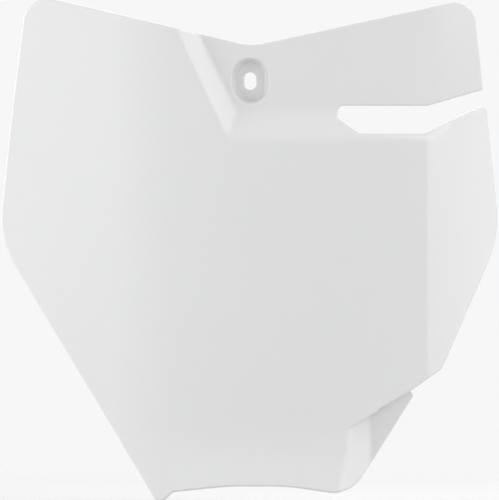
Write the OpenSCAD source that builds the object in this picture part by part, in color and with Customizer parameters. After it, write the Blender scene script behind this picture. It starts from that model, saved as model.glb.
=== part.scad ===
// Front number board for an off-road motorcycle, moulded as one curved sheet.
// The board faces -Y and stands up along +Z. The origin is the middle of the bolt slot, on the seat
// at the back, where the board meets the fork clamp. All sizes are in millimetres.

/* [Sheet] */
// Thickness of the moulded sheet
wall = 2.2; // [1.8:0.1:2.8]
// Radius of the middle of the board, seen from above
face_r = 520; // [420:10:700]

/* [Left wing] */
// Distance from the middle to the start of the soft bend
bend_x = 43; // [30:1:60]
// Radius of the soft bend
bend_r = 115; // [80:5:200]
// Angle that the soft bend turns back
bend_angle = 15; // [8:1:22]

/* [Right wing] */
// Distance from the middle to the crisp fold
fold_x = 94.5; // [88:0.5:100]
// Radius of the crisp fold
fold_r = 6; // [4:0.5:10]
// Angle that the crisp fold turns back
fold_angle = 17; // [8:1:24]
// Radius of the wing beyond the fold
wing_r = 165; // [120:5:300]

/* [Foot of the face] */
// Height of the first of the two shallow folds that turn the foot forward
flare_z = -190; // [-200:1:-175]
// Drop from the first fold to the second
flare_step = 14; // [8:1:20]
// Angle of each of those folds
flare_angle = 5; // [2:0.5:8]

/* [Outline] */
// Distance from the middle to the left shoulder
shoulder_left_x = 121.3; // [114:0.1:124]
// Height of the left shoulder
shoulder_left_z = 47.6; // [42:0.1:52]
// Rounding of the left shoulder
shoulder_left_r = 13; // [6:0.5:16]
// Distance from the middle to the right shoulder
shoulder_right_x = 120.7; // [114:0.1:124]
// Height of the right shoulder
shoulder_right_z = 45.1; // [42:0.1:52]
// Rounding of the right shoulder
shoulder_right_r = 11.5; // [6:0.5:16]
// Distance from the middle to the bottom of the top notch
notch_x = 0.6; // [-4:0.1:6]
// Height of the bottom of the top notch
notch_z = 18.8; // [17:0.1:24]
// Rounding at the bottom of the top notch
notch_r = 30; // [10:1:60]
// Distance from the middle to the bow in the upper left side
bow_x = 129.9; // [128.6:0.1:131]
// Height of that bow
bow_z = -21; // [-30:0.5:-12]
// Distance from the middle to the widest point on the left
waist_left_x = 136.3; // [133:0.1:140]
// Height of the widest point on the left
waist_left_z = -85.1; // [-92:0.1:-78]
// Rounding at the widest point on the left
waist_left_r = 48; // [20:1:60]
// Distance from the middle to the widest point on the right
waist_right_x = 135.4; // [132:0.1:138]
// Height of the widest point on the right
waist_right_z = -83.5; // [-90:0.1:-78]
// Rounding at the widest point on the right
waist_right_r = 62; // [20:1:80]
// Distance from the middle to the left toe
toe_x = 49.6; // [46:0.1:53]
// Height of the left toe
toe_z = -228.9; // [-231:0.1:-226]
// Rounding of the left toe
toe_r = 4; // [1:0.1:4.5]
// Distance from the middle to the notch beside the left toe
heel_x = 41.7; // [39:0.1:43]
// Height of that notch
heel_z = -221.5; // [-223:0.1:-220]
// Height of the flat middle of the bottom edge
arch_z = -218.4; // [-220:0.1:-215]
// Distance from the middle to the left end of that flat
arch_left_x = 12.3; // [8:0.1:20]
// Distance from the middle to its right end
arch_right_x = 20.1; // [12:0.1:26]
// Rounding at both of its ends
arch_r = 120; // [20:5:160]
// Distance from the middle to the right bottom corner
foot_x = 54.4; // [51:0.1:57]
// Height of the right bottom corner
foot_z = -223.5; // [-226:0.1:-220]
// Rounding of the right bottom corner
foot_r = 18; // [6:0.5:19]

/* [Set-back panel] */
// Depth of the top right panel behind the face
panel_depth = 7; // [5:0.5:9]
// Width of the slanted bank at its left
bank_run = 10.4; // [8:0.2:13]
// Lean of that bank to the left
bank_lean = 27; // [20:1:34]
// Distance from the middle to the foot of that bank
bank_x = 12.2; // [9:0.1:16]
// Height of the lower edge of the panel's bottom bank
ledge_z = -30.8; // [-33:0.1:-29.6]
// Height that the bottom bank takes up
ledge_run = 14.2; // [12:0.2:16]
// Distance from the middle at which the panel curves back
panel_bend_x = 98; // [85:1:110]
// Radius of that curve
panel_bend_r = 200; // [140:10:400]

/* [Bolt seat] */
// Width of the bolt slot
slot_w = 6.5; // [6.2:0.1:7]
// Length of the bolt slot
slot_l = 9.5; // [8.5:0.1:11]
// Depth of the cup around the bolt
cup_depth = 6; // [4:0.5:7]
// Width of the cup at its mouth
cup_w = 20.6; // [19:0.2:22]
// Length of the cup at its mouth
cup_l = 24.9; // [23:0.1:26]
// Slope of the cup's side
cup_draft = 20; // [10:1:26]

/* [Hose slot] */
// Distance from the middle to the closed end of the hose slot
gap_x = 47.5; // [44:0.1:52]
// Height of the roof of the hose slot
gap_top_z = -13.3; // [-14.5:0.1:-12]
// Height of the floor of the hose slot
gap_floor_z = -28; // [-29:0.1:-26]
// Rise of the corner between the closed end and the floor
gap_chamfer_z = 7.9; // [5:0.1:9]
// Run of that corner
gap_chamfer_x = 11.5; // [8:0.1:15]
// Distance from the middle at which the roof begins to rise
lip_x = 96; // [90:0.2:102]
// Distance from the middle to the panel's corner at the mouth
mouth_top_x = 126.1; // [124:0.1:130]
// Height of that corner
mouth_top_z = -4.5; // [-6:0.1:-3]
// Distance from the middle to the wing's tip at the mouth
mouth_floor_x = 127.8; // [124:0.1:130]
// Height of that tip
mouth_floor_z = -12.6; // [-13.5:0.1:-11]

/* [Hose slit] */
// Distance from the middle to the closed end of the slit
slit_x = 70.3; // [68:0.1:74]
// Height of the closed end of the slit
slit_z = -176.9; // [-178:0.1:-175]
// Rise of the slit above the horizontal, in degrees
slit_angle = 30.7; // [28:0.1:33]
// Width of the slit, seen from the front
slit_w = 0.2; // [0.1:0.1:1]
// Distance from the middle to the open end of the slit
slit_mouth_x = 86.8; // [84:0.1:89]
// Distance from the middle to the ear above the slit
ear_x = 103.7; // [101:0.1:107]
// Height of the ear
ear_z = -155.5; // [-158:0.1:-154]
// Rounding of the ear
ear_r = 6.5; // [3:0.5:14]
// Distance from the middle to the tip of the flap below the slit
flap_x = 88.4; // [87.5:0.1:91]
// Height of that tip
flap_z = -169.6; // [-171:0.1:-168.5]
// Rounding of that tip
flap_r = 1.6; // [0.5:0.1:1.8]
// Depth of the flap behind the face
flap_depth = 9; // [7:0.5:11]
// Width of the bank between the face and the flap
flap_run = 12.2; // [9:0.2:14]
// Distance from the middle to the left edge of that bank
flap_bank_x = 53.4; // [50:0.2:56]
// Lean of that bank to the right
flap_lean = -1.6; // [-6:0.2:6]

/* [Fender lugs] */
// Distance from the middle to each lug
lug_x = 38; // [34:1:42]
// Width of each lug
lug_w = 12; // [8:0.5:14]
// Thickness of each lug
lug_t = 3; // [2.4:0.1:4]
// Reach of each lug behind the sheet
lug_reach = 13; // [9:0.5:16]
// Drop of the catch at the lug's end
lug_catch = 2; // [1:0.2:3]

/* [Hidden] */

// The seat is at y = 0, so the depths before it set where the face lies.
panel_y = -(wall + cup_depth);
face_y = panel_y - panel_depth;
face_c = [0, face_y + face_r];

// How far the working solids run behind the face, to its sides, and above and below it.
back = 70;
side = max(waist_left_x, waist_right_x, mouth_top_x, mouth_floor_x) + 10;
top_z = shoulder_left_z + 20;
base_z = toe_z - 12;
far = 400;

// Solids that are joined along a bank run this far into each other.
lap = 3;

// A rounding is this share larger than its tangent circle, so that it cuts both of its neighbours.
// The foot's shares are larger, so that its seams stop beside those of the face.
snug = 1 / 4000;
foot_snug = [3 * snug, 8 * snug];

// Angles along the face, from straight ahead, where one curve hands over to the next.
bend_a = asin(bend_x / face_r);
wing_left_a = bend_a + bend_angle;
fold_a = asin(fold_x / face_r);
wing_a = fold_a + fold_angle;
panel_r = face_r - panel_depth;
panel_bend_a = asin(panel_bend_x / panel_r);

// Outward direction at angle a from straight ahead, positive to the right.
function ahead(a) = [sin(a), -cos(a)];

// Centres of those curves.
bend_c = face_c + (face_r - bend_r) * ahead(-bend_a);
fold_c = face_c + (face_r - fold_r) * ahead(fold_a);
wing_c = fold_c + (fold_r - wing_r) * ahead(wing_a);
panel_bend_c = face_c + (panel_r - panel_bend_r) * ahead(panel_bend_a);

// Slopes of the banks.
bank_slope = atan(panel_depth / bank_run);
ledge_slope = atan(panel_depth / ledge_run);
flap_here_a = asin(flap_bank_x / face_r);
flap_slope = atan(flap_depth / flap_run) + flap_here_a;
flap_bank_z = (slit_z + heel_z) / 2;

// Along the slit, and square to it, upwards.
slit_dir = [cos(slit_angle), sin(slit_angle)];
slit_up = [-sin(slit_angle), cos(slit_angle)];
slit_end = [slit_x, slit_z];

cup_taper = tan(cup_draft);
cup_straight = cup_l - cup_w;

// Points of the corner at b between a and c, rounded to radius r.
function unit(v) = v / norm(v);
function corner(a, b, c, r) =
    let (u = unit(a - b), v = unit(c - b), half = acos(u * v) / 2)
    let (middle = b + unit(u + v) * r / sin(half), turn = 180 - 2 * half)
    let (first = b + u * r / tan(half) - middle, way = sign(cross(-u, v)))
    let (steps = max(2, ceil(turn / max(8, 24 / r))))
    [for (i = [0 : steps]) let (t = way * turn * i / steps)
        middle + [first.x * cos(t) - first.y * sin(t), first.x * sin(t) + first.y * cos(t)]];

// A closed line of [x, z, radius] corners, rounded at each.
function rounded(line) =
    [for (i = [0 : len(line) - 1])
        let (n = len(line), a = line[(i + n - 1) % n], b = line[i], c = line[(i + 1) % n])
        each corner([a.x, a.y], [b.x, b.y], [c.x, c.y], b.z)];

// A point that lies along the slit from its closed end, and above its line.
function slit_point(along, up) = slit_end + along * slit_dir + up * slit_up;
slit_mouth = slit_point((slit_mouth_x - slit_x) / slit_dir.x, 0);

// Corners of the outline, clockwise from the left shoulder: x, z and rounding.
outline = [
    [-shoulder_left_x, shoulder_left_z, shoulder_left_r],
    [notch_x, notch_z, notch_r],
    [shoulder_right_x, shoulder_right_z, shoulder_right_r],
    [mouth_top_x, mouth_top_z, 1],
    [lip_x, gap_top_z, 10],
    [gap_x, gap_top_z, 3],
    [gap_x, gap_floor_z + gap_chamfer_z, 2],
    [gap_x + gap_chamfer_x, gap_floor_z, 1.5],
    [fold_x, gap_floor_z, 4],
    [mouth_floor_x, mouth_floor_z, 2.5],
    [waist_right_x, waist_right_z, waist_right_r],
    [ear_x, ear_z, ear_r],
    concat(slit_mouth, [0.3]),
    [flap_x, flap_z, flap_r],
    [foot_x, foot_z, foot_r],
    [arch_right_x, arch_z, arch_r],
    [-arch_left_x, arch_z, arch_r],
    [-heel_x, heel_z, 2],
    [-toe_x, toe_z, toe_r],
    [-waist_left_x, waist_left_z, waist_left_r],
    [-bow_x, bow_z, 400],
];

// Turns a drawing in x and z into a bar that runs front to back.
module front_to_back() {
    translate([0, far, 0]) rotate([90, 0, 0]) linear_extrude(2 * far) children();
}

// A disc at centre c, of radius r less d.
module disc(c, r, d) {
    translate(c) circle(r = r - d, $fn = 180);
}

// What lies outside the rounding of radius r at centre c, between two angles.
module corner_waste(c, r, a0, a1, d, share) {
    difference() {
        translate(c) polygon([[0, 0], 2 * r * ahead(a0), 3 * r * ahead((a0 + a1) / 2), 2 * r * ahead(a1)]);
        disc(c, r * (1 + share), d);
    }
}

// Everything left of x, and everything behind the face, seen from above.
module left_of(x) {
    translate([-far, -far]) square([far + x, 2 * far]);
}

module behind(d) {
    translate([-side - d, -far]) square([2 * (side + d), far + back + d]);
}

// The face and both wings, seen from above, set back by d.
module face_plan(d, share) {
    difference() {
        intersection() {
            behind(d);
            disc(face_c, face_r, d);
            translate(bend_c + bend_r * ahead(-wing_left_a)) rotate(-wing_left_a)
                translate([-far, d]) square([2 * far, far]);
            union() {
                disc(wing_c, wing_r, d);
                left_of(fold_x / 2);
            }
        }
        corner_waste(bend_c, bend_r, -wing_left_a, -bend_a, d, share);
        corner_waste(fold_c, fold_r, fold_a, wing_a, d, share);
    }
}

// The set-back panel, seen from above, set back further by d.
module panel_plan(d) {
    intersection() {
        behind(d);
        disc(face_c, panel_r, d);
        union() {
            disc(panel_bend_c, panel_bend_r * (1 + snug), d);
            left_of(panel_bend_x);
        }
    }
}

// Stands a plan up over the whole height.
module stand_up(d) {
    translate([0, 0, base_z - d]) linear_extrude(top_z - base_z + 2 * d) children();
}

// Turns what lies below height z forward, about the front of the face.
module turn_forward(z) {
    translate([0, face_y, z]) rotate([-flare_angle, 0, 0]) translate([0, -face_y, -z]) children();
}

// Everything behind the face and wings, with the foot turned forward in two shallow folds.
module face_solid(d) {
    stand_up(d) face_plan(d, snug);
    turn_forward(flare_z) stand_up(d) face_plan(d, foot_snug[0]);
    turn_forward(flare_z) turn_forward(flare_z - flare_step) stand_up(d) face_plan(d, foot_snug[1]);
}

// The space in front of a plane through the origin that faces -Y, moved back by d.
module in_front(d) {
    translate([-far, -far, -far]) cube([2 * far, far + d, 2 * far]);
}

// The area above the hose slot's middle line, right of its closed end less overlap.
module above_slot(overlap) {
    start_x = gap_x + gap_chamfer_x - overlap;
    middle_z = (gap_top_z + gap_floor_z + overlap) / 2;
    mouth_x = (mouth_top_x + mouth_floor_x) / 2;
    mouth_z = (mouth_top_z + mouth_floor_z + overlap) / 2;
    polygon([
        [start_x, middle_z], [lip_x, middle_z], [mouth_x, mouth_z],
        [mouth_x + far, mouth_z], [mouth_x + far, far], [start_x, far]
    ]);
}

// Everything behind the bank along the panel's bottom, which runs round with the face, set back by d.
module ledge_cone(d) {
    foot_r = face_r - d / cos(ledge_slope);
    shrink = tan(ledge_slope);
    translate([face_c.x, face_c.y, base_z])
        cylinder(h = top_z - base_z, r1 = foot_r + shrink * (ledge_z - base_z),
                 r2 = foot_r - shrink * (top_z - ledge_z), $fn = 180);
}

// The space in front of the two banks that lead back to the panel, moved back by d.
module bank_space(d) {
    difference() {
        translate([-bank_x, face_y, ledge_z]) rotate([0, -bank_lean, 0]) rotate([0, 0, bank_slope])
            in_front(d);
        ledge_cone(d);
    }
}

// Where the panel runs, a little past its banks and past the limit beside the hose slot.
module panel_reach(d) {
    intersection() {
        bank_space(d + lap);
        front_to_back() left_of(gap_x + gap_chamfer_x);
    }
    front_to_back() above_slot(lap);
}

// The space in front of the bank that leads back to the flap.
module flap_space(d) {
    here = face_c + face_r * ahead(flap_here_a);
    translate([here.x, here.y, flap_bank_z]) rotate([0, flap_lean, 0]) rotate([0, 0, flap_slope])
        in_front(d);
}

// A long round-ended plug along -Y, from y = 0, that widens from near_r to away_r over its length.
module long_plug(near_r, away_r, length, straight) {
    for (turn = [0, 180])
        rotate([0, turn, 0]) translate([0, 0, straight / 2]) rotate([90, 0, 0])
            rotate_extrude(angle = 180, $fn = 96)
                polygon([[0, 0], [near_r, 0], [away_r, length], [0, length]]);
    translate([0, 0, -straight / 2]) linear_extrude(straight)
        polygon([[-near_r, 0], [near_r, 0], [away_r, -length], [-away_r, -length]]);
}

// The cup around the bolt, grown by d.
module cup(d) {
    length = panel_depth + cup_depth + d;
    floor_r = cup_w / 2 - cup_taper * (cup_depth + d) + d / cos(cup_draft);
    translate([0, d - wall, 0]) long_plug(floor_r, floor_r + cup_taper * length, length, cup_straight);
}

// The flap, seen from above, set back further by d.
module flap_plan(d) {
    intersection() {
        behind(d);
        disc(face_c, face_r - flap_depth, d);
    }
}

// The area below the slit's line, moved up by d, seen from the front.
module below_slit(d) {
    polygon([slit_point(-far, d), slit_point(far, d), slit_point(far, -far), slit_point(-far, -far)]);
}

// Everything behind the face and its banks.
module face_behind_banks(d) {
    difference() {
        face_solid(d);
        bank_space(d);
        front_to_back() above_slot(0);
        intersection() {
            flap_space(d);
            front_to_back() below_slit(d);
        }
    }
}

// Everything behind the set-back panel, and everything behind the flap.
module panel_solid(d) {
    intersection() {
        stand_up(d) panel_plan(d);
        panel_reach(d);
    }
}

module flap_solid(d) {
    intersection() {
        stand_up(d) flap_plan(d);
        flap_space(d + lap);
        front_to_back() below_slit(d + lap);
    }
}

// Everything behind the face, the set-back panel, the flap and the cup.
module board_solid(d) {
    difference() {
        union() {
            union() {
                face_behind_banks(d);
                panel_solid(d);
            }
            flap_solid(d);
        }
        cup(d);
    }
}

// Right of its closed end the slit has no wall behind the edge of the face.
module open_slit() {
    intersection() {
        face_solid(wall);
        front_to_back()
            polygon([slit_point(0, -slit_w), slit_point(far, -slit_w), slit_point(far, 2 * wall), slit_point(0, 2 * wall)]);
    }
}

// The moulded sheet: what lies behind the face, cut to the outline, less what lies behind the back.
module sheet() {
    difference() {
        intersection() {
            board_solid(0);
            front_to_back() polygon(rounded(outline));
        }
        board_solid(wall);
        open_slit();
    }
}

// The two lugs that catch in the front fender, on the back near the foot.
module lugs() {
    low = heel_z + 4;
    forward = tan(flare_angle) * (max(flare_z - low, 0) + max(flare_z - flare_step - low, 0));
    root = face_c.y - sqrt(face_r * face_r - lug_x * lug_x) - forward + wall * 0.7;
    for (way = [-1, 1])
        translate([way * lug_x - lug_w / 2, root, low]) rotate([90, 0, 90]) linear_extrude(lug_w)
            polygon([
                [0, 0], [lug_reach - 1.5, 0], [lug_reach - 1.5, -lug_catch], [lug_reach + 1, -lug_catch],
                [lug_reach + 2, 0], [lug_reach + 2, lug_t], [4, lug_t], [0, lug_t + 3]
            ]);
}

module bolt_slot() {
    translate([0, 1, 0]) long_plug(slot_w / 2, slot_w / 2, wall + 2, slot_l - slot_w);
}

module number_board() {
    color([0.93, 0.93, 0.93]) difference() {
        union() {
            sheet();
            lugs();
        }
        bolt_slot();
    }
}

number_board();
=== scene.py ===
import math

import bpy
import bmesh
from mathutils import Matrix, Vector
from mathutils.kdtree import KDTree


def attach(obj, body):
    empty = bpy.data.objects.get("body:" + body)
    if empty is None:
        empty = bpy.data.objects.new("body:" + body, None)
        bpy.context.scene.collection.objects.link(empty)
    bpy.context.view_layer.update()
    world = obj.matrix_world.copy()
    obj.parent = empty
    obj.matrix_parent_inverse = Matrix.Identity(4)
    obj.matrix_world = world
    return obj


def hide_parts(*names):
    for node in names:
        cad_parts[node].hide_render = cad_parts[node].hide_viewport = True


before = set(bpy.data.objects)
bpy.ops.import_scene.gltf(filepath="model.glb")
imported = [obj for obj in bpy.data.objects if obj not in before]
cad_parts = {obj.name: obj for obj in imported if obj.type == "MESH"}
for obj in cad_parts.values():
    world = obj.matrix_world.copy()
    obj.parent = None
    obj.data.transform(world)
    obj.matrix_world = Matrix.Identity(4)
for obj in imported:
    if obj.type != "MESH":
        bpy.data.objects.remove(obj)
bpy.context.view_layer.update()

mm = 0.001

# the board, in millimetres and degrees: x to the right, z up, y away from the viewer
numberBoard = {
    "wall": 2.2,
    "faceY": -15.2, "faceRadius": 520,
    "leftBendX": 43, "leftBendRadius": 115, "leftBendAngle": 15,
    "foldX": 94.5, "foldRadius": 6, "foldAngle": 17, "wingRadius": 165,
    "footTopZ": -190, "footStep": 14, "footAngle": 5, "footSoftness": 3.0,
    "panelDepth": 7, "panelBendX": 98, "panelBendRadius": 200,
    "bankRun": 10.4, "bankLean": 27, "bankX": 12.2, "ledgeZ": -30.8, "ledgeRun": 14.2,
    "creaseSoftness": 1.7, "cornerShare": 2.2, "frontShare": 0.67,
    "cupDepth": 6, "cupWidth": 20.6, "cupLength": 24.9, "cupDraft": 20, "cupReach": 20,
    "cupFloorSoftness": 1.3, "cupEdgeSoftness": 0.9,
    "slotWidth": 6.5, "slotLength": 9.5,
    "gapX": 47.5, "gapTopZ": -13.3, "gapFloorZ": -28, "gapChamferZ": 7.9, "gapChamferX": 11.5,
    "lipX": 96, "mouthTopX": 126.1, "mouthTopZ": -4.5, "mouthFloorX": 127.8, "mouthFloorZ": -12.6,
    "slitX": 70.3, "slitZ": -176.9, "slitAngle": 30.7, "slitMouthX": 86.8, "slitWidth": 0.2,
    "tuck": 0.7, "tuckReach": 3.5, "tuckEnds": (0.1, 1), "tuckFades": (2, 3),
    "flapX": 88.4, "flapZ": -169.6, "flapFootZ": -221.5, "flapDepth": 9, "flapRun": 12.2,
    "flapBankX": 53.4, "flapLean": -1.6, "flapSoftness": 1.2, "flapEdgeShare": 0.8, "flapFromX": 40,
    "webMargin": 0.5,
    "outlineStep": 1.25, "outlineTurn": 11, "outlineLeast": 0.3,
    "rimInset": 0.9, "rimRounding": 0.75, "rimSegments": 3, "smoothAngle": 40,
    "wearReach": 0.85, "wearFade": 0.5,
}

# the lines that are cut into its mesh, in millimetres: a grid, rings round the bolt slot, and
# lines at these distances from each crease, which lies off its nominal place by the shifts
boardMesh = {
    "gridX": (-136.1, 136), "gridZ": (-228.3, 46), "gridStep": 2.5,
    "ringSides": 112, "ringRun": 4.2, "ringClearance": 0.5, "ringTolerance": 0.3,
    "floorRings": [5.2 + 0.9 * k for k in range(3)],
    "sideRings": [7.4 + 0.3 * k for k in range(22)],
    "outerRings": [14.2, 15.0],
    "creaseLines": [-2.4, -1.6, -0.8, 0, 0.8, 1.6, 2.4],
    "foldLines": [k * 0.6 for k in range(-2, 4)],
    "foldShift": 0.6, "footShifts": (-1, -0.5), "footReach": 8, "flapBankWay": (-0.12, 1),
    "mergeDistance": 0.08, "keepFromSlit": 0.5, "slitTolerance": 0.03,
}


def heading(angle):
    return Vector((math.cos(math.radians(angle)), math.sin(math.radians(angle))))


def leftOf(way):
    return Vector((-way.y, way.x))


slitAlong = heading(numberBoard["slitAngle"])
slitUp = leftOf(slitAlong)
slitEnd = Vector((numberBoard["slitX"], numberBoard["slitZ"]))


def onSlit(x):
    return slitEnd + (x - numberBoard["slitX"]) / slitAlong.x * slitAlong


slitMouth = onSlit(numberBoard["slitMouthX"])
webEnd = onSlit(numberBoard["flapBankX"] - numberBoard["webMargin"])
flapTip = Vector((numberBoard["flapX"], numberBoard["flapZ"]))
slitGap = numberBoard["slitWidth"] * slitUp
mouthGap = numberBoard["slitWidth"] * (flapTip - slitMouth).normalized()

# corners of the outline, clockwise from the left shoulder: x, z and rounding
outlineCorners = [
    (-121.3, 47.6, 13), (0.6, 18.8, 30), (120.7, 45.1, 11.5),
    (numberBoard["mouthTopX"], numberBoard["mouthTopZ"], 1.3),
    (numberBoard["lipX"], numberBoard["gapTopZ"], 10),
    (numberBoard["gapX"], numberBoard["gapTopZ"], 3),
    (numberBoard["gapX"], numberBoard["gapFloorZ"] + numberBoard["gapChamferZ"], 2),
    (numberBoard["gapX"] + numberBoard["gapChamferX"], numberBoard["gapFloorZ"], 1.5),
    (numberBoard["foldX"], numberBoard["gapFloorZ"], 4),
    (numberBoard["mouthFloorX"], numberBoard["mouthFloorZ"], 2.5),
    (135.4, -83.5, 62), (103.7, -155.5, 6.5),
    (*slitMouth, 0), (*slitEnd, 0), (*webEnd, 0),
    (*(webEnd - slitGap), 0), (*(slitEnd - slitGap), 0), (*(slitMouth + mouthGap), 1.1),
    (*flapTip, 1.6),
    (54.4, -223.5, 18), (20.1, -218.4, 120), (-12.3, -218.4, 120), (-41.7, -221.5, 2),
    (-49.6, -228.5, 4), (-136.3, -85.1, 48), (-129.9, -21, 400),
]


def roundedOutline(corners, step):
    line = []
    for i, (x, z, radius) in enumerate(corners):
        here, before, after = (Vector(corners[j % len(corners)][:2]) for j in (i, i - 1, i + 1))
        if radius == 0:
            line.append(here)
            continue
        toBefore, toAfter = (before - here).normalized(), (after - here).normalized()
        half = toBefore.angle(toAfter) / 2
        turn = math.pi - 2 * half
        middle = here + (toBefore + toAfter).normalized() * radius / math.sin(half)
        first = here + toBefore * radius / math.tan(half) - middle
        way = math.copysign(1, -toBefore.cross(toAfter))
        arc = turn * radius
        smooth = min(math.ceil(math.degrees(turn) / numberBoard["outlineTurn"]),
                     math.ceil(arc / numberBoard["outlineLeast"]))
        count = max(2, math.ceil(arc / step), smooth)
        for k in range(count + 1):
            t = way * turn * k / count
            c, s = math.cos(t), math.sin(t)
            line.append(middle + Vector((first.x * c - first.y * s, first.x * s + first.y * c)))
    points = []
    for i, a in enumerate(line):
        b = line[(i + 1) % len(line)]
        parts = max(1, math.ceil((b - a).length / step - 0.01))
        points += [a.lerp(b, k / parts) for k in range(parts)]
    return points


# how deep the front of the board lies at a point; k is how far a crease is softened
def softMin(a, b, k):
    h = max(k - abs(a - b), 0.0) / k
    return min(a, b) - h * h * k / 4


def softMax(a, b, k):
    return -softMin(-a, -b, k)


def arcY(x, centreX, centreY, radius):
    return centreY - math.sqrt(max(radius * radius - (x - centreX) ** 2, 0.0))


def fromCentre(turn):
    return Vector((math.sin(turn), -math.cos(turn)))


faceCentreY = numberBoard["faceY"] + numberBoard["faceRadius"]
faceCentre = Vector((0, faceCentreY))
bendStart = math.asin(numberBoard["leftBendX"] / numberBoard["faceRadius"])
bendStop = bendStart + math.radians(numberBoard["leftBendAngle"])
bendCentre = faceCentre + (numberBoard["faceRadius"] - numberBoard["leftBendRadius"]) * fromCentre(-bendStart)
bendEnd = bendCentre + numberBoard["leftBendRadius"] * fromCentre(-bendStop)
foldStart = math.asin(numberBoard["foldX"] / numberBoard["faceRadius"])
foldStop = foldStart + math.radians(numberBoard["foldAngle"])
foldCentre = faceCentre + (numberBoard["faceRadius"] - numberBoard["foldRadius"]) * fromCentre(foldStart)
foldEnd = foldCentre + numberBoard["foldRadius"] * fromCentre(foldStop)
wingCentre = foldCentre + (numberBoard["foldRadius"] - numberBoard["wingRadius"]) * fromCentre(foldStop)
panelRadius = numberBoard["faceRadius"] - numberBoard["panelDepth"]
panelTurn = math.asin(numberBoard["panelBendX"] / panelRadius)
panelBendCentre = faceCentre + (panelRadius - numberBoard["panelBendRadius"]) * fromCentre(panelTurn)
flapRadius = numberBoard["faceRadius"] - numberBoard["flapDepth"]
flapMiddleZ = (numberBoard["slitZ"] + numberBoard["flapFootZ"]) / 2
cupStraight = numberBoard["cupLength"] - numberBoard["cupWidth"]
slotStraight = numberBoard["slotLength"] - numberBoard["slotWidth"]
slotRadius = numberBoard["slotWidth"] / 2


def facePlanY(x):
    if x < bendEnd.x:
        return bendEnd.y + (bendEnd.x - x) * math.tan(bendStop)
    if x < -numberBoard["leftBendX"]:
        return arcY(x, *bendCentre, numberBoard["leftBendRadius"])
    if x < numberBoard["foldX"]:
        return arcY(x, 0, faceCentreY, numberBoard["faceRadius"])
    if x < foldEnd.x:
        return arcY(x, *foldCentre, numberBoard["foldRadius"])
    return arcY(x, *wingCentre, numberBoard["wingRadius"])


def faceDepth(x, z):
    upright = facePlanY(x)
    back = upright - numberBoard["faceY"]
    a = math.radians(numberBoard["footAngle"])
    once = numberBoard["faceY"] + back / math.cos(a) + (z - numberBoard["footTopZ"]) * math.tan(a)
    stepY, stepZ = -numberBoard["footStep"] * math.sin(a), -numberBoard["footStep"] * math.cos(a)
    twice = (numberBoard["faceY"] + stepY + back / math.cos(2 * a)
             + (z - numberBoard["footTopZ"] - stepZ) * math.tan(2 * a))
    k = 2 * math.tan(a) * numberBoard["footSoftness"]
    return softMin(softMin(upright, once, k), twice, k)


def panelDepth(x):
    if x < numberBoard["panelBendX"]:
        return arcY(x, 0, faceCentreY, panelRadius)
    return arcY(x, *panelBendCentre, numberBoard["panelBendRadius"])


def aboveSlot(x, z):
    startX = numberBoard["gapX"] + numberBoard["gapChamferX"]
    middleZ = (numberBoard["gapTopZ"] + numberBoard["gapFloorZ"]) / 2
    mouthZ = (numberBoard["mouthTopZ"] + numberBoard["mouthFloorZ"]) / 2
    rise = (mouthZ - middleZ) / (numberBoard["mouthFloorX"] - numberBoard["lipX"])
    return x > startX and z > middleZ + max(0, x - numberBoard["lipX"]) * rise


def banksDepth(x, z):
    lean = math.radians(numberBoard["bankLean"])
    slope = numberBoard["panelDepth"] / numberBoard["bankRun"]
    up = z - numberBoard["ledgeZ"]
    leftBank = numberBoard["faceY"] + slope * (
        math.cos(lean) * (x + numberBoard["bankX"]) + math.sin(lean) * up)
    ledgeRadius = numberBoard["faceRadius"] - numberBoard["panelDepth"] / numberBoard["ledgeRun"] * up
    soft = slope * numberBoard["creaseSoftness"]
    corner = softMin(leftBank, arcY(x, 0, faceCentreY, ledgeRadius), soft * numberBoard["cornerShare"])
    return softMin(corner, panelDepth(x), soft)


def flapDepth(x, z):
    turn = math.asin(numberBoard["flapBankX"] / numberBoard["faceRadius"])
    slope = math.tan(math.atan(numberBoard["flapDepth"] / numberBoard["flapRun"]) + turn)
    lean = math.radians(numberBoard["flapLean"])
    startY = faceCentreY - numberBoard["faceRadius"] * math.cos(turn)
    bank = startY + slope * (
        math.cos(lean) * (x - numberBoard["flapBankX"]) - math.sin(lean) * (z - flapMiddleZ))
    return softMin(bank, arcY(x, 0, faceCentreY, flapRadius), slope * numberBoard["flapSoftness"])


# the flap's upper edge goes up behind the edge above it, so that no light shows through the slit
def flapTuck(x, z):
    place = Vector((x, z)) - slitEnd
    along, below = place.dot(slitAlong), -place.dot(slitUp)
    if not 0.5 * numberBoard["slitWidth"] < below < numberBoard["tuckReach"]:
        return 0.0
    (pastEnd, pastMouth), (endFade, mouthFade) = numberBoard["tuckEnds"], numberBoard["tuckFades"]
    mouth = (slitMouth - slitEnd).dot(slitAlong) + pastMouth
    fade = max(0.0, min(1.0, (along - pastEnd) / endFade, (mouth - along) / mouthFade))
    return numberBoard["tuck"] * fade * (1 - below / numberBoard["tuckReach"])


def stadium(x, z, straight):
    return math.hypot(x, max(abs(z) - straight / 2, 0.0))


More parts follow.
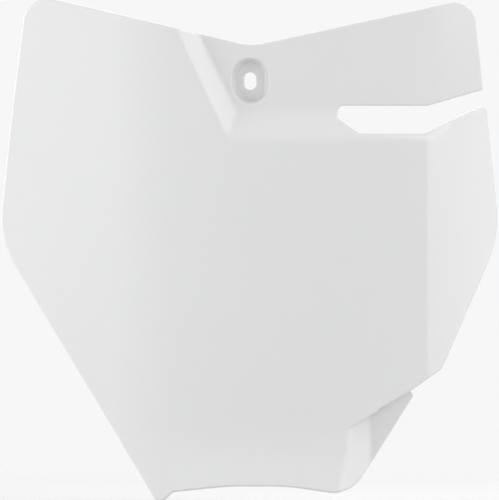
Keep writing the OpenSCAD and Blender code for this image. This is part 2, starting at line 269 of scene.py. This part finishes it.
def boardDepth(x, z):
    if aboveSlot(x, z):
        depth = panelDepth(x)
    else:
        soft = numberBoard["frontShare"] * numberBoard["creaseSoftness"]
        depth = softMax(faceDepth(x, z), banksDepth(x, z), soft)
    aboveSlit = (Vector((x, z)) - slitEnd).dot(slitUp)
    if x > numberBoard["flapFromX"] and aboveSlit < -0.5 * numberBoard["slitWidth"]:
        soft = numberBoard["flapEdgeShare"] * numberBoard["flapSoftness"]
        depth = softMax(depth, flapDepth(x, z), soft)
    reach = stadium(x, z, cupStraight)
    if reach < numberBoard["cupReach"]:
        taper = math.tan(math.radians(numberBoard["cupDraft"]))
        floorRadius = numberBoard["cupWidth"] / 2 - taper * numberBoard["cupDepth"]
        side = -numberBoard["wall"] - (reach - floorRadius) / taper
        cup = softMin(-numberBoard["wall"], side, numberBoard["cupFloorSoftness"])
        depth = softMax(depth, cup, numberBoard["cupEdgeSoftness"])
    return depth


def editMesh(obj):
    return bmesh.from_edit_mesh(obj.data)


def makeActive(obj):
    bpy.ops.object.select_all(action="DESELECT")
    bpy.context.view_layer.objects.active = obj
    obj.select_set(True)


def startEdit(obj, mode):
    makeActive(obj)
    bpy.ops.object.mode_set(mode="EDIT")
    bpy.ops.mesh.select_mode(type=mode)


def selectWhere(obj, kind, wanted):
    bpy.ops.mesh.select_all(action="DESELECT")
    mesh = editMesh(obj)
    for item in {"VERT": mesh.verts, "EDGE": mesh.edges, "FACE": mesh.faces}[kind]:
        if not item.hide and wanted(item):
            item.select_set(True)
    bmesh.update_edit_mesh(obj.data)


def flatOf(vector):
    return vector.x / mm, vector.z / mm


def finishWith(obj, kind, **values):
    modifier = obj.modifiers.new(kind.lower(), kind)
    for key, value in values.items():
        setattr(modifier, key, value)
    bpy.context.view_layer.objects.active = obj
    bpy.ops.object.modifier_apply(modifier=modifier.name)


def shadeSmooth(obj):
    makeActive(obj)
    bpy.ops.object.shade_smooth_by_angle(angle=math.radians(numberBoard["smoothAngle"]))


# the board starts flat
print("board: outline")
bpy.ops.object.select_all(action="DESELECT")
outlinePoints = roundedOutline(outlineCorners, numberBoard["outlineStep"])
bpy.ops.mesh.primitive_circle_add(vertices=len(outlinePoints), radius=0.1, fill_type="NGON",
                                  location=(0, 0, 0))
board = bpy.context.object
board.name = board.data.name = "numberBoardLook"
for vertex, (x, z) in zip(board.data.vertices, outlinePoints):
    vertex.co = (x * mm, 0, z * mm)
board.data.update()
startEdit(board, "FACE")
bpy.ops.mesh.select_all(action="SELECT")
if editMesh(board).faces[:][0].normal.y > 0:
    bpy.ops.mesh.flip_normals()
bpy.ops.mesh.inset(thickness=numberBoard["rimInset"] * mm, use_boundary=True, use_even_offset=True)

# the rim stays whole while a grid is cut into the rest
print("board: grid")
bpy.ops.mesh.select_all(action="INVERT")
bpy.ops.mesh.hide(unselected=False)


def cutGrid(lowest, highest, normal):
    step = boardMesh["gridStep"]
    count = int((highest - lowest) // step)
    for k in range(1, count + 1):
        place = (lowest + k * step) * mm
        bpy.ops.mesh.select_all(action="SELECT")
        bpy.ops.mesh.bisect(plane_co=tuple(place * n for n in normal), plane_no=normal)


cutGrid(*boardMesh["gridX"], (1, 0, 0))
cutGrid(*boardMesh["gridZ"], (0, 0, 1))

# round the bolt the grid gives way to rings
print("board: bolt seat")
ringOuter = boardMesh["outerRings"][-1]
selectWhere(board, "FACE", lambda f: any(
    stadium(*flatOf(v.co), cupStraight) < ringOuter + boardMesh["ringClearance"] for v in f.verts))
bpy.ops.mesh.delete(type="FACE")
bpy.ops.mesh.select_mode(type="VERT")
bpy.ops.mesh.select_all(action="DESELECT")
bpy.ops.mesh.primitive_circle_add(vertices=boardMesh["ringSides"], radius=slotRadius * mm,
                                  fill_type="NOTHING", rotation=(math.pi / 2, 0, 0))


def stretchRing(obj, radius, straight, lastStraight):
    for v in [v for v in editMesh(obj).verts if v.select]:
        side = math.copysign(1, v.co.z)
        angle = math.atan2(side * max(abs(v.co.z) - lastStraight / 2 * mm, 0), v.co.x)
        v.co = (radius * math.cos(angle) * mm, 0, (radius * math.sin(angle) + side * straight / 2) * mm)
    bmesh.update_edit_mesh(obj.data)
    return straight


ringStraight = stretchRing(board, slotRadius, slotStraight, 0)
ringRadii = [slotRadius + numberBoard["rimInset"]] + boardMesh["floorRings"]
for radius in ringRadii + boardMesh["sideRings"] + boardMesh["outerRings"]:
    share = min(1.0, max(0.0, (radius - slotRadius) / boardMesh["ringRun"]))
    straight = slotStraight + (cupStraight - slotStraight) * share
    bpy.ops.mesh.extrude_edges_move(TRANSFORM_OT_translate={"value": (0, 0, 0)})
    ringStraight = stretchRing(board, radius, straight, ringStraight)

# fill between the outermost ring and the grid
bpy.ops.mesh.select_mode(type="EDGE")
selectWhere(board, "EDGE", lambda e: e.is_boundary and all(
    stadium(*flatOf(v.co), cupStraight) > ringOuter - boardMesh["ringTolerance"] for v in e.verts))
bpy.ops.mesh.fill(use_beauty=True)
bpy.ops.mesh.select_mode(type="FACE")
for face in editMesh(board).faces:
    if face.normal.y > 0:
        face.normal_flip()
bmesh.update_edit_mesh(board.data)

# lines along the creases, so that these come out straight
print("board: creases")


def cutAlong(point, way, offsets, spanX, spanZ):
    side = leftOf(Vector(way)).normalized()

    def isNear(face):
        x, z = flatOf(face.calc_center_median())
        return spanX[0] < x < spanX[1] and spanZ[0] < z < spanZ[1] and not aboveSlot(x, z)

    for offset in offsets:
        place = Vector(point) + offset * side
        selectWhere(board, "FACE", isNear)
        bpy.ops.mesh.bisect(plane_co=(place.x * mm, 0, place.y * mm), plane_no=(side.x, 0, side.y))


boardX, boardZ = (-140, 140), (-240, 60)
lines = boardMesh["creaseLines"]
bankAcross = heading(numberBoard["bankLean"])
bankWay = leftOf(bankAcross)
bankFoot = Vector((-numberBoard["bankX"], numberBoard["ledgeZ"]))
for point in (bankFoot, bankFoot + numberBoard["bankRun"] * bankAcross):
    cutAlong(point, bankWay, lines, (-50, 6), (-38, 60))
for creaseZ in (numberBoard["ledgeZ"], numberBoard["ledgeZ"] + numberBoard["ledgeRun"]):
    cutAlong((0, creaseZ), (1, 0), lines, (-20, 100), (-36, -12))
foldMiddle = (numberBoard["foldX"] + boardMesh["foldShift"], 0)
cutAlong(foldMiddle, (0, 1), boardMesh["foldLines"], (85, 105), boardZ)
for down, shift in zip((0, numberBoard["footStep"]), boardMesh["footShifts"]):
    creaseZ = numberBoard["footTopZ"] - down + shift
    span = (creaseZ - boardMesh["footReach"], creaseZ + boardMesh["footReach"])
    cutAlong((0, creaseZ), (1, 0), lines, boardX, span)
flapAcross = heading(numberBoard["flapLean"])
for acrossX, way in ((0, boardMesh["flapBankWay"]), (numberBoard["flapRun"], (flapAcross.y, flapAcross.x))):
    cutAlong((numberBoard["flapBankX"] + acrossX, flapMiddleZ), way, lines, (44, 80), (-240, -160))

# close points are merged, but the slit stays open
bpy.ops.mesh.select_mode(type="VERT")
selectWhere(board, "VERT", lambda v: abs(
    (Vector(flatOf(v.co)) - slitEnd).dot(slitUp)) > boardMesh["keepFromSlit"])
bpy.ops.mesh.remove_doubles(threshold=boardMesh["mergeDistance"] * mm)
bpy.ops.mesh.reveal(select=False)

print("board: depth")
for vertex in editMesh(board).verts:
    x, z = flatOf(vertex.co)
    tuck = flapTuck(x, z) * mm
    vertex.co = (vertex.co.x + tuck * slitUp.x, boardDepth(x, z) * mm, vertex.co.z + tuck * slitUp.y)
bmesh.update_edit_mesh(board.data)

# the wall between the face and the flap, up to the closed end of the slit
webFrom = (webEnd - slitEnd).dot(slitAlong)


def onSlitSide(vertex, up):
    place = Vector(flatOf(vertex.co)) - slitEnd
    along, slack = place.dot(slitAlong), boardMesh["slitTolerance"]
    return abs(place.dot(slitUp) - up) < slack and webFrom - slack < along < slack


selectWhere(board, "EDGE", lambda e: e.is_boundary and any(
    all(onSlitSide(v, up) for v in e.verts) for up in (0, -numberBoard["slitWidth"])))
bpy.ops.mesh.bridge_edge_loops()
for face in [f for f in editMesh(board).faces if f.select]:
    if face.normal.dot(Vector((slitUp.x, 0, slitUp.y))) > 0:
        face.normal_flip()
bmesh.update_edit_mesh(board.data)
bpy.ops.object.mode_set(mode="OBJECT")

print("board: wall and rim")
sheetFaces = len(board.data.polygons)
finishWith(board, "SOLIDIFY", thickness=numberBoard["wall"] * mm, offset=-1, use_even_offset=True,
           use_quality_normals=True, use_rim=True)
startEdit(board, "EDGE")
mesh = editMesh(board)
mesh.faces.ensure_lookup_table()
rimFaces = set(mesh.faces[2 * sheetFaces:])      # Solidify puts the rim after the front and the back
weight = mesh.edges.layers.float.new("bevel_weight_edge")
for edge in mesh.edges:
    edge[weight] = float(len(rimFaces.intersection(edge.link_faces)) == 1)
bmesh.update_edit_mesh(board.data)
bpy.ops.object.mode_set(mode="OBJECT")
finishWith(board, "BEVEL", width=numberBoard["rimRounding"] * mm, segments=numberBoard["rimSegments"],
           limit_method="WEIGHT", use_clamp_overlap=False, loop_slide=True)
shadeSmooth(board)

# the rim is marked for the wear on it
outlineTree = KDTree(len(outlinePoints))
for i, point in enumerate(outlinePoints):
    outlineTree.insert((*point, 0), i)
outlineTree.balance()


def toOutline(x, z):
    point, best = Vector((x, z)), math.inf
    nearest = outlineTree.find((x, z, 0))[1]
    for i in (nearest, nearest - 1):
        a, b = outlinePoints[i], outlinePoints[(i + 1) % len(outlinePoints)]
        share = min(1, max(0, (point - a).dot(b - a) / (b - a).length_squared))
        best = min(best, (a.lerp(b, share) - point).length)
    return best


rim = board.data.attributes.new("rim", "FLOAT", "POINT")
for vertex, mark in zip(board.data.vertices, rim.data):
    x, z = flatOf(vertex.co)
    inside = min(toOutline(x, z), abs(stadium(x, z, slotStraight) - slotRadius))
    mark.value = min(1, max(0, (numberBoard["wearReach"] - inside) / numberBoard["wearFade"]))
print("board:", len(board.data.polygons), "faces")


# two lugs behind the foot, in millimetres; edges are looked for within the slack of their place
fenderLugs = {
    "x": 38, "z": -217.5, "rootY": -15.9, "width": 12, "thickness": 3, "arm": 11.5,
    "catch": 2, "catchLength": 3.5, "catchTaper": 1, "gussetRun": 4, "gussetRise": 3,
    "rounding": 0.5, "roundingSegments": 3, "roundedFrom": 20,
    "slack": 0.5, "mergeDistance": 0.05, "flatWithin": 1,
}


def makeLug(name, middleX):
    low, slack = fenderLugs["z"], fenderLugs["slack"]
    top = low + fenderLugs["thickness"]
    root = fenderLugs["rootY"]
    tip, gussetEnd = root + fenderLugs["arm"], root + fenderLugs["gussetRun"]
    bpy.ops.object.select_all(action="DESELECT")
    bpy.ops.mesh.primitive_cube_add(size=1, location=(0, 0, 0))
    lug = bpy.context.object
    lug.name = lug.data.name = name
    startEdit(lug, "FACE")
    bpy.ops.mesh.select_all(action="SELECT")
    bpy.ops.transform.resize(
        value=(fenderLugs["width"] * mm, fenderLugs["arm"] * mm, fenderLugs["thickness"] * mm))
    bpy.ops.transform.translate(
        value=(middleX * mm, (root + fenderLugs["arm"] / 2) * mm, (low + fenderLugs["thickness"] / 2) * mm))
    selectWhere(lug, "FACE", lambda f: f.normal.y > 0.9)
    bpy.ops.mesh.extrude_region_move(
        TRANSFORM_OT_translate={"value": (0, fenderLugs["catchLength"] * mm, 0)})
    selectWhere(lug, "FACE", lambda f: f.normal.z < -0.9 and f.calc_center_median().y > tip * mm)
    bpy.ops.mesh.extrude_region_move(
        TRANSFORM_OT_translate={"value": (0, 0, -fenderLugs["catch"] * mm)})

    # the catch tapers towards its tip, and a gusset stands on the root
    outer = tip + fenderLugs["catchLength"] - slack
    selectWhere(lug, "EDGE", lambda e: all(
        v.co.z < (low - slack) * mm and v.co.y > outer * mm for v in e.verts))
    bpy.ops.transform.translate(value=(0, -fenderLugs["catchTaper"] * mm, 0))
    bpy.ops.mesh.select_all(action="SELECT")
    bpy.ops.mesh.bisect(plane_co=(0, gussetEnd * mm, 0), plane_no=(0, 1, 0))
    selectWhere(lug, "FACE", lambda f: f.normal.z > 0.9 and f.calc_center_median().y < gussetEnd * mm)
    bpy.ops.mesh.extrude_region_move(
        TRANSFORM_OT_translate={"value": (0, 0, fenderLugs["gussetRise"] * mm)})
    upper = top + fenderLugs["gussetRise"] - slack
    selectWhere(lug, "EDGE", lambda e: all(
        v.co.z > upper * mm and v.co.y > (gussetEnd - slack) * mm for v in e.verts))
    bpy.ops.transform.translate(value=(0, 0, -fenderLugs["gussetRise"] * mm))
    bpy.ops.mesh.select_all(action="SELECT")
    bpy.ops.mesh.remove_doubles(threshold=fenderLugs["mergeDistance"] * mm)
    bpy.ops.mesh.dissolve_limited(angle_limit=math.radians(fenderLugs["flatWithin"]))
    bpy.ops.object.mode_set(mode="OBJECT")
    finishWith(lug, "BEVEL", width=fenderLugs["rounding"] * mm, segments=fenderLugs["roundingSegments"],
               limit_method="ANGLE", angle_limit=math.radians(fenderLugs["roundedFrom"]),
               use_clamp_overlap=True)
    shadeSmooth(lug)
    return lug


print("lugs")
lugs = [makeLug("lugLeftLook", -fenderLugs["x"]), makeLug("lugRightLook", fenderLugs["x"])]


class Value:     # a socket that takes part in sums
    def __init__(self, nodes, socket):
        self.nodes, self.socket = nodes, socket

    def math(self, operation, a, b):
        return self.nodes.add("ShaderNodeMath", {"operation": operation}, [a, b])

    def __add__(self, other): return self.math("ADD", self, other)
    def __radd__(self, other): return self.math("ADD", other, self)
    def __mul__(self, other): return self.math("MULTIPLY", self, other)
    def __rmul__(self, other): return self.math("MULTIPLY", other, self)


class Nodes:
    def __init__(self, tree):
        self.tree = tree

    def add(self, kind, settings=None, inputs=None, output=0):
        node = self.tree.nodes.new(kind)
        for key, value in (settings or {}).items():
            setattr(node, key, value)
        for key, value in inputs.items() if isinstance(inputs, dict) else enumerate(inputs or []):
            if isinstance(value, Value):
                self.tree.links.new(value.socket, node.inputs[key])
            else:
                node.inputs[key].default_value = value
        return Value(self, node.outputs[output]) if node.outputs else None


def newMaterial(name):
    material = bpy.data.materials.new(name)
    material.use_nodes = True
    material.node_tree.nodes.clear()
    return material, Nodes(material.node_tree)


# gloss plastic; each pattern has its size in millimetres and its detail
whitePlastic = {
    "colour": (0.78, 0.782, 0.785), "colourDrift": 0.012, "drift": (70, 3.0),
    "roughness": 0.22, "smearDepth": 0.05, "smears": (16, 5.0),
    "bumpStrength": 0.03, "bumpDistance": 0.4, "peel": (2.6, 2.0), "grain": (0.5, 2.0), "grainShare": 0.15,
    "ior": 1.5, "coat": 0.6, "coatRoughness": 0.06,
    "wornColour": (0.70, 0.70, 0.695), "edgeWear": 0.35, "edgeRoughness": 0.14, "wear": (7, 4.0),
}


def makeWhitePlastic():
    material, nodes = newMaterial("whitePlastic")
    place = nodes.add("ShaderNodeTexCoord", output="Object")

    def noise(name):
        size, detail = whitePlastic[name]
        return nodes.add("ShaderNodeTexNoise", {"noise_dimensions": "3D"},
                         {"Vector": place, "Scale": 1 / (size * mm), "Detail": detail})

    def mixed(share, first, second):
        return nodes.add("ShaderNodeMix", {"data_type": "RGBA"}, {0: share, 6: first, 7: second}, output=2)

    drift, smears, peel, grain = noise("drift"), noise("smears"), noise("peel"), noise("grain")
    rim = nodes.add("ShaderNodeAttribute", {"attribute_name": "rim"}, output="Fac")
    wear = rim * noise("wear")
    dark, light = ((*(c * (1 + way * whitePlastic["colourDrift"]) for c in whitePlastic["colour"]), 1)
                   for way in (-1, 1))
    clean = mixed(drift, dark, light)
    colour = mixed(wear * whitePlastic["edgeWear"], clean, (*whitePlastic["wornColour"], 1))
    smooth = whitePlastic["roughness"] - 0.5 * whitePlastic["smearDepth"]
    rough = smooth + smears * whitePlastic["smearDepth"] + wear * whitePlastic["edgeRoughness"]
    bump = nodes.add("ShaderNodeBump", None, {
        "Strength": whitePlastic["bumpStrength"], "Distance": whitePlastic["bumpDistance"] * mm,
        "Height": peel + grain * whitePlastic["grainShare"]})
    shader = nodes.add("ShaderNodeBsdfPrincipled", None, {
        "Base Color": colour, "Roughness": rough, "Normal": bump, "IOR": whitePlastic["ior"],
        "Coat Weight": whitePlastic["coat"], "Coat Roughness": whitePlastic["coatRoughness"]})
    nodes.add("ShaderNodeOutputMaterial", None, {"Surface": shader})
    return material


plastic = makeWhitePlastic()
for piece in [board] + lugs:
    piece.data.materials.clear()
    piece.data.materials.append(plastic)
    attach(piece, "root")
    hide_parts("number_board")

# the stage, in metres
studio = {
    "background": 0.93, "around": 0.515,
    "floorColour": 0.80, "floorLift": 0.20, "floorZ": -0.2270,
    "floorRadius": 2.2, "floorSides": 96, "floorFade": (0.6, 1.6),
    "aim": (0, 0, -0.09),
    "lamps": {     # place, size and power in watts
        "left": ((-1.7, -0.5, 0.1), 1.3, 21.6),
        "right": ((1.7, -0.5, 0.1), 1.3, 3.1),
        "rightWide": ((1.5, -1.5, 0.8), 1.6, 8.9),
        "front": ((0.0, -2.6, 0.9), 1.2, 0.8),
        "topRight": ((1.4, -0.12, 1.3), 0.8, 11.0),
        "rear": ((0.0, 2.2, 0.9), 1.6, 10.0),
    },
}


def grey(level):
    return (level, level, level, 1)


# the floor fades out into the background, and only the camera sees its lift
print("studio")
bpy.ops.object.select_all(action="DESELECT")
bpy.ops.mesh.primitive_circle_add(vertices=studio["floorSides"], radius=studio["floorRadius"],
                                  fill_type="TRIFAN", location=(0, 0, studio["floorZ"]))
floor = bpy.context.object
floor.name = "floor"
floorMaterial, floorNodes = newMaterial("paleFloor")
spot = floorNodes.add("ShaderNodeTexCoord", output="Object")
away = floorNodes.add("ShaderNodeVectorMath", {"operation": "LENGTH"}, [spot], output="Value")
near, far = studio["floorFade"]
fade = floorNodes.add("ShaderNodeMapRange", {"interpolation_type": "SMOOTHSTEP"},
                      {"Value": away, "From Min": near, "From Max": far})
matt = floorNodes.add("ShaderNodeBsdfDiffuse", None, {"Color": grey(studio["floorColour"])})
glow = floorNodes.add("ShaderNodeEmission", None, {"Color": grey(1), "Strength": studio["floorLift"]})
lifted = floorNodes.add("ShaderNodeAddShader", None, [matt, glow])
toCamera = floorNodes.add("ShaderNodeLightPath", output="Is Camera Ray")
pale = floorNodes.add("ShaderNodeMixShader", None, [toCamera, matt, lifted])
clear = floorNodes.add("ShaderNodeBsdfTransparent")
faded = floorNodes.add("ShaderNodeMixShader", None, [fade, pale, clear])
floorNodes.add("ShaderNodeOutputMaterial", None, {"Surface": faded})
floor.data.materials.append(floorMaterial)

# the camera and mirrored rays see the pale background, and the rest a softer one
world = bpy.data.worlds.new("studioWorld")
bpy.context.scene.world = world
world.use_nodes = True
world.node_tree.nodes.clear()
worldNodes = Nodes(world.node_tree)
cameraRay, glossyRay, clearRay = (worldNodes.add("ShaderNodeLightPath", output=name)
                                  for name in ("Is Camera Ray", "Is Glossy Ray", "Is Transmission Ray"))
soft = worldNodes.add("ShaderNodeBackground", None, {"Color": grey(1), "Strength": studio["around"]})
backdrop = worldNodes.add("ShaderNodeBackground", None,
                          {"Color": grey(studio["background"]), "Strength": 1.0})
both = worldNodes.add("ShaderNodeMixShader", None, [cameraRay + glossyRay + clearRay, soft, backdrop])
worldNodes.add("ShaderNodeOutputWorld", None, {"Surface": both})

for name, (place, size, power) in studio["lamps"].items():
    data = bpy.data.lights.new(name + "Lamp", "AREA")
    data.shape, data.size, data.energy = "SQUARE", size, power
    lamp = bpy.data.objects.new(name + "Lamp", data)
    bpy.context.scene.collection.objects.link(lamp)
    lamp.location = place
    lamp.rotation_euler = (Vector(studio["aim"]) - Vector(place)).to_track_quat("-Z", "Y").to_euler()

# the camera stands far away behind a long lens, straight in front; pixel and sensor in millimetres
photo = {
    "width": 499, "height": 500, "pixel": 0.54, "boltPixel": (250.3, 81.1),
    "distance": 9.0, "sensor": 36, "clip": (0.5, 60),
}
cameraData = bpy.data.cameras.new("camera")
camera = bpy.data.objects.new("camera", cameraData)
bpy.context.scene.collection.objects.link(camera)
cameraData.sensor_width = photo["sensor"]
fieldHeight = photo["height"] * photo["pixel"] * mm     # the longer side fills the sensor
cameraData.lens = photo["sensor"] * photo["distance"] / fieldHeight
boltX, boltY = photo["boltPixel"]
camera.location = ((photo["width"] / 2 - boltX) * photo["pixel"] * mm, -photo["distance"],
                   (boltY - photo["height"] / 2) * photo["pixel"] * mm)
camera.rotation_euler = (math.pi / 2, 0, 0)
cameraData.clip_start, cameraData.clip_end = photo["clip"]
bpy.context.scene.camera = camera
bpy.context.scene.view_settings.view_transform = "Standard"
